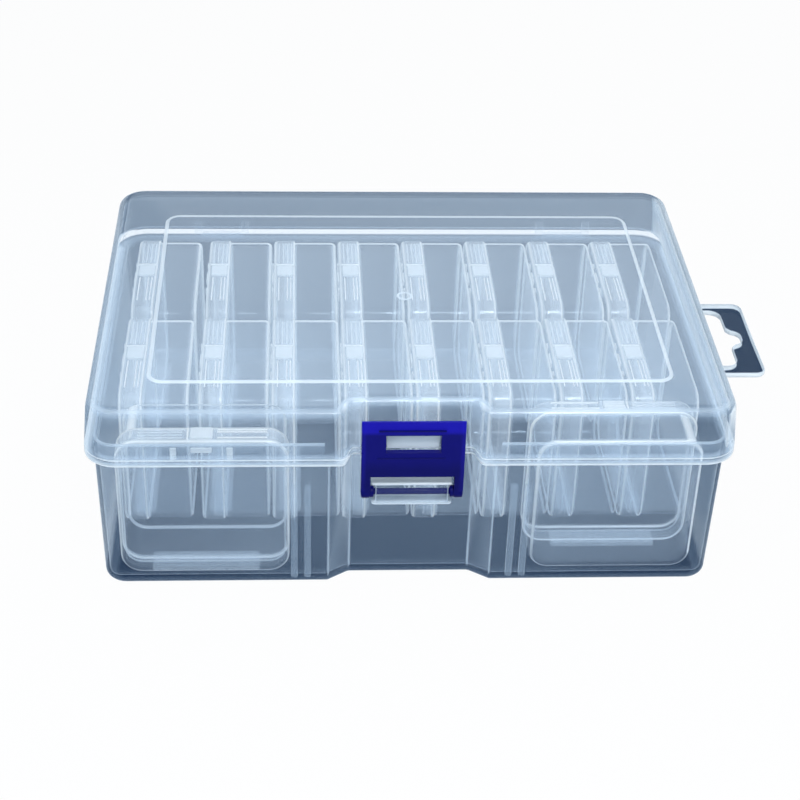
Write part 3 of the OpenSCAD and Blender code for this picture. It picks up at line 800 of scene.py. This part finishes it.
def latch_plate():
    """Latch plate on a grid of widths and heights, with the window and the gap between
    the legs left out. Its front leans back a little over the window and more in the band
    along its top, and rolls back at both sides."""
    half, top = LATCH_HALF, PIVOT_Z + LATCH_H
    widths = np.array([3.5, WINDOW_HALF, 9, LEG_IN, 12.4, 13.2, half])
    xs = np.concatenate([-widths[::-1], [0], widths])
    heights = [-0.2, 2, 4, LEG_H, 8, 11.5, WINDOW_LOW, 16.5, WINDOW_TOP, 20.4, 21.4, 22.2, 22.7]
    zs = PIVOT_Z + np.array(heights + [LATCH_H])
    mx, mz = (xs[:-1] + xs[1:]) / 2, (zs[:-1] + zs[1:]) / 2
    gx, gz = np.meshgrid(mx, mz, indexing="ij")
    keep = ~((np.abs(gx) < LEG_IN) & (gz < PIVOT_Z + LEG_H))
    window = (gz > PIVOT_Z + WINDOW_LOW) & (gz < PIVOT_Z + WINDOW_TOP)
    keep &= ~((np.abs(gx) < WINDOW_HALF) & window)
    vx, vz = np.meshgrid(xs, zs, indexing="ij")
    back = np.full_like(vx, LATCH_BACK)
    lean = 0.22 * np.clip((vz - (PIVOT_Z + 11.5)) / 9.0, 0, 1)
    lean += 0.75 * np.clip((vz - (top - 2.6)) / 2.6, 0, 1)
    side = np.clip((np.abs(vx) - (half - 1.4)) / 1.4, 0, 1)
    front = back - LATCH_T + 0.55 * (1 - np.sqrt(1 - 0.9 * side**2)) + lean
    nx, nz = len(xs), len(zs)
    v = np.concatenate([np.stack([vx, y, vz], -1).reshape(-1, 3) for y in (front, back)])

    def idx(i, k, b):
        """Number of grid point (i, k) on the front (b = 0) or the back (b = 1)."""
        return b * nx * nz + i * nz + k

    i, k = np.nonzero(keep)
    fr = np.stack([idx(i, k, 0), idx(i + 1, k, 0), idx(i + 1, k + 1, 0), idx(i, k + 1, 0)], -1)
    bk = np.stack([idx(i, k, 1), idx(i, k + 1, 1), idx(i + 1, k + 1, 1), idx(i + 1, k, 1)], -1)
    faces = [fr, bk]
    pad = np.pad(keep, 1)
    left, right = (-1, 0, (0, 1), (0, 0)), (1, 0, (1, 0), (1, 1))
    below, above = (0, -1, (0, 0), (1, 0)), (0, 1, (1, 1), (0, 1))
    for di, dk, p, q in (left, right, below, above):
        open_side = keep & ~pad[1 + di : pad.shape[0] - 1 + di, 1 + dk : pad.shape[1] - 1 + dk]
        i, k = np.nonzero(open_side)
        a, b = (i + p[0], k + p[1]), (i + q[0], k + q[1])
        faces.append(np.stack([idx(*a, 0), idx(*b, 0), idx(*b, 1), idx(*a, 1)], -1))
    used = np.unique(np.concatenate([f.ravel() for f in faces]))
    renumber = np.full(len(v), -1)
    renumber[used] = np.arange(len(used))
    # Painted light: lighter above the window and much lighter in the top band, which leans back towards
    # the light, with painted highlights along both sides that are weaker low on the legs.
    x, z = np.abs(v[used, 0]), v[used, 2] - PIVOT_Z
    painted_light = 0.14 * (z > 11) + 0.66 * (z > 20.3) + 0.25 * (x > half - 0.6) - 0.1 * (z < 5)
    marks = np.column_stack([np.clip(painted_light, 0, 1), 0 * painted_light])
    return [v[used], [renumber[f] for f in faces], marks]


def latch_fittings():
    """Round feet of the legs, their bosses, the axle, and two low ridges on the plate."""
    out = []
    for s in (-1, 1):
        for x1, x2, r, edge in ((LEG_IN, LATCH_HALF - 0.03, 1.8, 0.35), (10.3, 11.6, 1.6, 0.2)):
            out.append(rod(*sorted((s * x1, s * x2)), PIVOT_Y, PIVOT_Z, r, 32, edge))
    out.append(rod(-10.5, 10.5, PIVOT_Y, PIVOT_Z, 0.9))
    front = LATCH_BACK - LATCH_T
    for x1, z in ((-9.3, PIVOT_Z + 20.6), (-9.6, PIVOT_Z + 11.9)):
        out.append(block(x1, 8.6, front - 0.12, front + 0.3, z, z + 0.4, 0.1, 0.1))
    return out


latch_body = piece("latch_plate", latch_plate(), "latch", BLUE, ("latch",))
soft = latch_body.modifiers.new("soft_edges", "BEVEL")
soft.width = 0.3 * MM
soft.segments = 3
soft.limit_method = "ANGLE"
soft.angle_limit = RAD(50)
piece("latch_legs_and_axle", joined(*latch_fittings()), "latch", BLUE)


# ----------------------------------------------------------- small boxes


def spot(i):
    """X, Y and turn of box i: two rows of eight, then the two along the front."""
    col = i % COLS
    x = -IN_W / 2 + LEFT + col * (BOX_T + GAP) + (FIRST_GAP - GAP if col else 0)
    if i < 2 * COLS:
        return x, ROW_Y + (BOX_W + ROW_GAP) * (i // COLS), 0
    return (-FRONT_X, FRONT_Y, 90) if i == 2 * COLS else (FRONT_X, FRONT_Y + BOX_T, -90)


def placed(shape, i):
    """A box's shape, drawn as depth, width and height, put at its place in the case."""
    v, f, m = shape
    x, y, a = spot(i)
    c, s = np.cos(RAD(a)), np.sin(RAD(a))
    t, w, h = v.T
    return [np.column_stack([x + c * t - s * w, y + s * t + c * w, SEAT + h]), f, m]


def face_loft(w, z1, z2, r, steps):
    """Loft along depth: each step is inset, depth and milk of a rounded rectangle."""
    c = box_corners(-w / 2, z1, w / 2, z2)
    rings, milk_and_highlight = [], []
    for inset, t, m in steps:
        o = outline(c, [r] * 4, inset, 10)
        rings.append(np.column_stack([np.full(len(o), t), o]))
        milk_and_highlight.append(m)
    return loft(rings, milk_and_highlight)


def small_lid():
    """Lid of a small box: face, round edge, skirt, and the same inside, with its half of
    the hinge pad, the snap tab, a catch and two bars on the face, and grip lines on top."""
    top = PAD_H + BOX_H
    steps = [(4.5, 0.0, 0.0), (1.9, 0.0, 0.0)]
    # Painted highlight: milk that peaks halfway round the face's round edge, and lines of it along the
    # skirt's edge.
    glow = (0.05, 0.15, 0.5, 0.85, 0.45, 0.25)
    steps += [(i, e, m) for (i, e), m in zip(round_in(1.5, 6), glow)]
    steps += [(0.0, 2.2, 0.26), (0.0, SKIRT - 0.7, 0.26), (0.0, SKIRT - 0.25, 0.85), (0.2, SKIRT, 0.9)]
    steps += [(SKIRT_WALL - 0.15, SKIRT, 0.5), (SKIRT_WALL, SKIRT - 0.2, 0.2)]
    steps += [(SKIRT_WALL, PLATE + 1.2, 0.05)]
    steps += [(SKIRT_WALL + i, PLATE + e, 0.05) for i, e in round_in(0.9, 4)[::-1]]
    steps += [(4.0, PLATE, 0.0)]
    shell = face_loft(BOX_W, PAD_H, top, BOX_R, steps)
    shell = brightened(shell, lambda v: v[:, 2] < top - BOX_R, -0.22)
    half = PAD_W / 2
    pad = block(PAD_T1, SKIRT - 0.05, -half, half, 0.0, PAD_H + 0.4, 0.3, 0.2, 0.12)
    snap = block(1.3, 6.1, -3.0, 3.0, top - 0.4, top + 0.5, 0.5, 0.2, 0.55)
    stop = block(0.9, 6.3, 3.4, 3.9, top - 0.4, top + 0.3, 0.2, 0.12, 0.8)
    z = top - 0.3
    lines = [block(t, t + 0.35, -17.5, -4.2, z, top + 0.15, 0.15, 0.1, 0.85) for t in (1.7, 4.3, 5.3)]
    frost = [block(t, t + 0.5, 5, 17, z, top + 0.12, 0.2, 0.1, 0.35) for t in (1.6, 2.9, 4.2, 5.4)]
    raised = []
    for middle, wide, low in ((0, 2.8, 3.6), (-7.5, 0.85, 5.8), (7.5, 0.85, 5.8)):
        y1, y2 = middle - wide, middle + wide
        raised.append(block(-0.25, 0.3, y1, y2, top - low, top - 2.0, 0.2, 0.2, 0.7))
    return joined(shell, pad, snap, stop, *lines, *frost, *raised)


def small_cup():
    """Cup of a small box: back, round edge, wall, shoulder, neck, and the same inside. A band
    of painted highlight lies round the corner at the rear of its top."""
    w, z1, z2, r = BOX_W - 2 * STEP, PAD_H + STEP, PAD_H + BOX_H - STEP, BOX_R - STEP
    neck = SKIRT_WALL + NECK_GAP - STEP
    t0 = SKIRT - NECK
    steps = [(4.5, BOX_T, 0.0), (2.0, BOX_T, 0.0)]
    # Painted highlight: milk that peaks halfway round the back's round edge; the edges of the shoulder
    # and the neck get painted highlight lines too.
    glow = (0.05, 0.3, 0.9, 0.9, 0.3, 0.05)
    steps += [(i, BOX_T - e, m) for (i, e), m in zip(round_in(1.6, 6), glow)]
    steps += [(0.0, BOX_T - 2.0, 0.0), (0.0, SKIRT + 0.8, 0.0), (0.0, SKIRT + 0.2, 0.4)]
    steps += [(0.15, SKIRT + 0.02, 0.4), (neck, SKIRT + 0.02, 0.15), (neck, t0 + 0.2, 0.05)]
    steps += [(neck + 0.15, t0, 0.35), (CUP_WALL - 0.15, t0, 0.35), (CUP_WALL, t0 + 0.2, 0.05)]
    steps += [(CUP_WALL, BOX_T - CUP_WALL - 1.2, 0.0)]
    steps += [(CUP_WALL + i, BOX_T - CUP_WALL - e, 0.06) for i, e in round_in(1.0, 4)[::-1]]
    steps += [(4.5, BOX_T - CUP_WALL, 0.0)]

    def rear_corner_highlight(v):
        """Painted highlight: a band that is brightest at 20 degrees from the cup's top round its rear
        corner.
        """
        across, up = v[:, 1] - (w / 2 - r), v[:, 2] - (z2 - r)
        a = np.degrees(np.arctan2(across, up))
        return np.minimum(1.6 * band(a, 20, 20), 1) * (np.hypot(across, up) > r - 0.3) * (across > 0)

    shell = brightened(face_loft(w, z1, z2, r, steps), rear_corner_highlight, 0.9)
    shell = brightened(shell, lambda v: (v[:, 2] < z1 + r) * (v[:, 0] > BOX_T - 2.5), -0.45)
    pad = block(SKIRT + 0.05, PAD_T2, -PAD_W / 2, PAD_W / 2, 0.0, z1 + 0.5, 0.3, 0.2, 0.12)
    return joined(shell, pad)


lid_shape, cup_shape = small_lid(), small_cup()
for i in range(2 * COLS + 2):
    tag = f"{i + 1:02d}"
    body = f"bead_box_{tag}"
    lid_here, cup_here = placed(lid_shape, i), placed(cup_shape, i)
    piece(f"small_lid_{tag}", lid_here, body, SMALL_LID, (f"bead_lid_{tag}",))
    piece(f"small_cup_{tag}", cup_here, body, CUP, (f"bead_cup_{tag}",))


# ------------------------------------------------- camera, light, backdrop


def set_camera():
    """Camera at the photograph's place. Its right and down axes are the level ones, turned
    by the roll about the way it looks."""
    level_way = np.cos(PITCH)
    fwd = np.array([np.sin(YAW) * level_way, np.cos(YAW) * level_way, -np.sin(PITCH)])
    right = np.array([np.cos(YAW), -np.sin(YAW), 0.0])
    down = np.cross(fwd, right)
    r = np.cos(ROLL) * right + np.sin(ROLL) * down
    d = -np.sin(ROLL) * right + np.cos(ROLL) * down
    m = np.eye(4)
    m[:3, 0], m[:3, 1], m[:3, 2] = r, -d, -fwd
    m[:3, 3] = np.array(CAMERA_AT) * MM
    cam = bpy.data.cameras.new("camera")
    cam.sensor_width = 36.0
    cam.lens = FOCAL_PX * cam.sensor_width / PICTURE_PX
    cam.clip_start = 0.01
    o = bpy.data.objects.new("camera", cam)
    o.matrix_world = Matrix(m.tolist())
    bpy.context.scene.collection.objects.link(o)
    bpy.context.scene.camera = o


AIM = (0, 0, 0.03)


def soft_box(name, place, size, watts):
    """Rectangular area lamp at a place, turned to look at the middle of the case."""
    lamp = bpy.data.lights.new(name, "AREA")
    lamp.shape = "RECTANGLE"
    lamp.size, lamp.size_y = size
    lamp.energy = watts
    o = bpy.data.objects.new(name, lamp)
    z = np.array(place) - AIM
    z /= np.linalg.norm(z)
    x = np.cross([0, 0, 1.0], z)
    x /= np.linalg.norm(x)
    m = np.eye(4)
    m[:3, 0], m[:3, 1], m[:3, 2], m[:3, 3] = x, np.cross(z, x), z, place
    o.matrix_world = Matrix(m.tolist())
    bpy.context.scene.collection.objects.link(o)


def backdrop_share(tree):
    """1 for rays that show the backdrop: from the camera, in reflections and through glass."""
    path = node(tree, "ShaderNodeLightPath")
    straight = maths(tree, "MAXIMUM", path.outputs["Is Camera Ray"], path.outputs["Is Transmission Ray"])
    return maths(tree, "MAXIMUM", straight, path.outputs["Is Glossy Ray"])


def set_world():
    """White to the camera and in reflections, a soft even light otherwise."""
    w = bpy.data.worlds.new("studio")
    bpy.context.scene.world = w
    w.use_nodes = True
    t = w.node_tree
    t.nodes.clear()
    out = node(t, "ShaderNodeOutputWorld")
    white = node(t, "ShaderNodeBackground")
    white.inputs["Color"].default_value = (1, 1, 1, 1)
    fill = node(t, "ShaderNodeBackground")
    fill.inputs["Color"].default_value = (0.74, 0.88, 1.0, 1)
    fill.inputs["Strength"].default_value = 0.4
    mix = node(t, "ShaderNodeMixShader")
    t.links.new(backdrop_share(t), mix.inputs["Fac"])
    t.links.new(fill.outputs[0], mix.inputs[1])
    t.links.new(white.outputs[0], mix.inputs[2])
    t.links.new(mix.outputs[0], out.inputs["Surface"])


FLOOR_HALF, FLOOR_GLOW, FLOOR_DROP = 3.0, 0.93, 0.0003


def set_floor():
    """Pale floor, wide enough to fill the view, that keeps the object's soft shadow. It
    lies just under the case's bottom."""
    s = FLOOR_HALF
    mesh = bpy.data.meshes.new("floor")
    mesh.from_pydata([(-s, -s, 0), (s, -s, 0), (s, s, 0), (-s, s, 0)], [], [(0, 1, 2, 3)])
    o = bpy.data.objects.new("floor", mesh)
    o.location = (0, 0, -FLOOR_DROP)
    bpy.context.scene.collection.objects.link(o)
    m = bpy.data.materials.new("floor_white")
    m.use_nodes = True
    t = m.node_tree
    t.nodes.clear()
    out = node(t, "ShaderNodeOutputMaterial")
    matte = node(t, "ShaderNodeBsdfDiffuse")
    matte.inputs["Color"].default_value = (0.82, 0.84, 0.86, 1)
    glow = node(t, "ShaderNodeEmission")
    glow.inputs["Color"].default_value = (1, 1, 1, 1)
    mix = node(t, "ShaderNodeMixShader")
    t.links.new(maths(t, "MULTIPLY", backdrop_share(t), FLOOR_GLOW), mix.inputs["Fac"])
    t.links.new(matte.outputs[0], mix.inputs[1])
    t.links.new(glow.outputs[0], mix.inputs[2])
    t.links.new(mix.outputs[0], out.inputs["Surface"])
    mesh.materials.append(m)


scene = bpy.context.scene
set_camera()
set_world()
set_floor()
soft_box("key", (-0.35, -0.25, 0.75), (0.5, 0.5), 1.9)
soft_box("front", (0.25, -0.9, 0.5), (0.7, 0.35), 1.1)
soft_box("rear", (0.2, 0.7, 0.5), (0.8, 0.4), 1.1)
soft_box("spark", (0.12, -0.45, 0.8), (0.2, 0.09), 3.8)
scene.view_settings.view_transform = "Standard"
scene.cycles.max_bounces = 4
scene.cycles.diffuse_bounces = 1
scene.cycles.glossy_bounces = 2
scene.cycles.transmission_bounces = 2
scene.cycles.transparent_max_bounces = 64
scene.cycles.caustics_reflective = False
scene.cycles.caustics_refractive = False
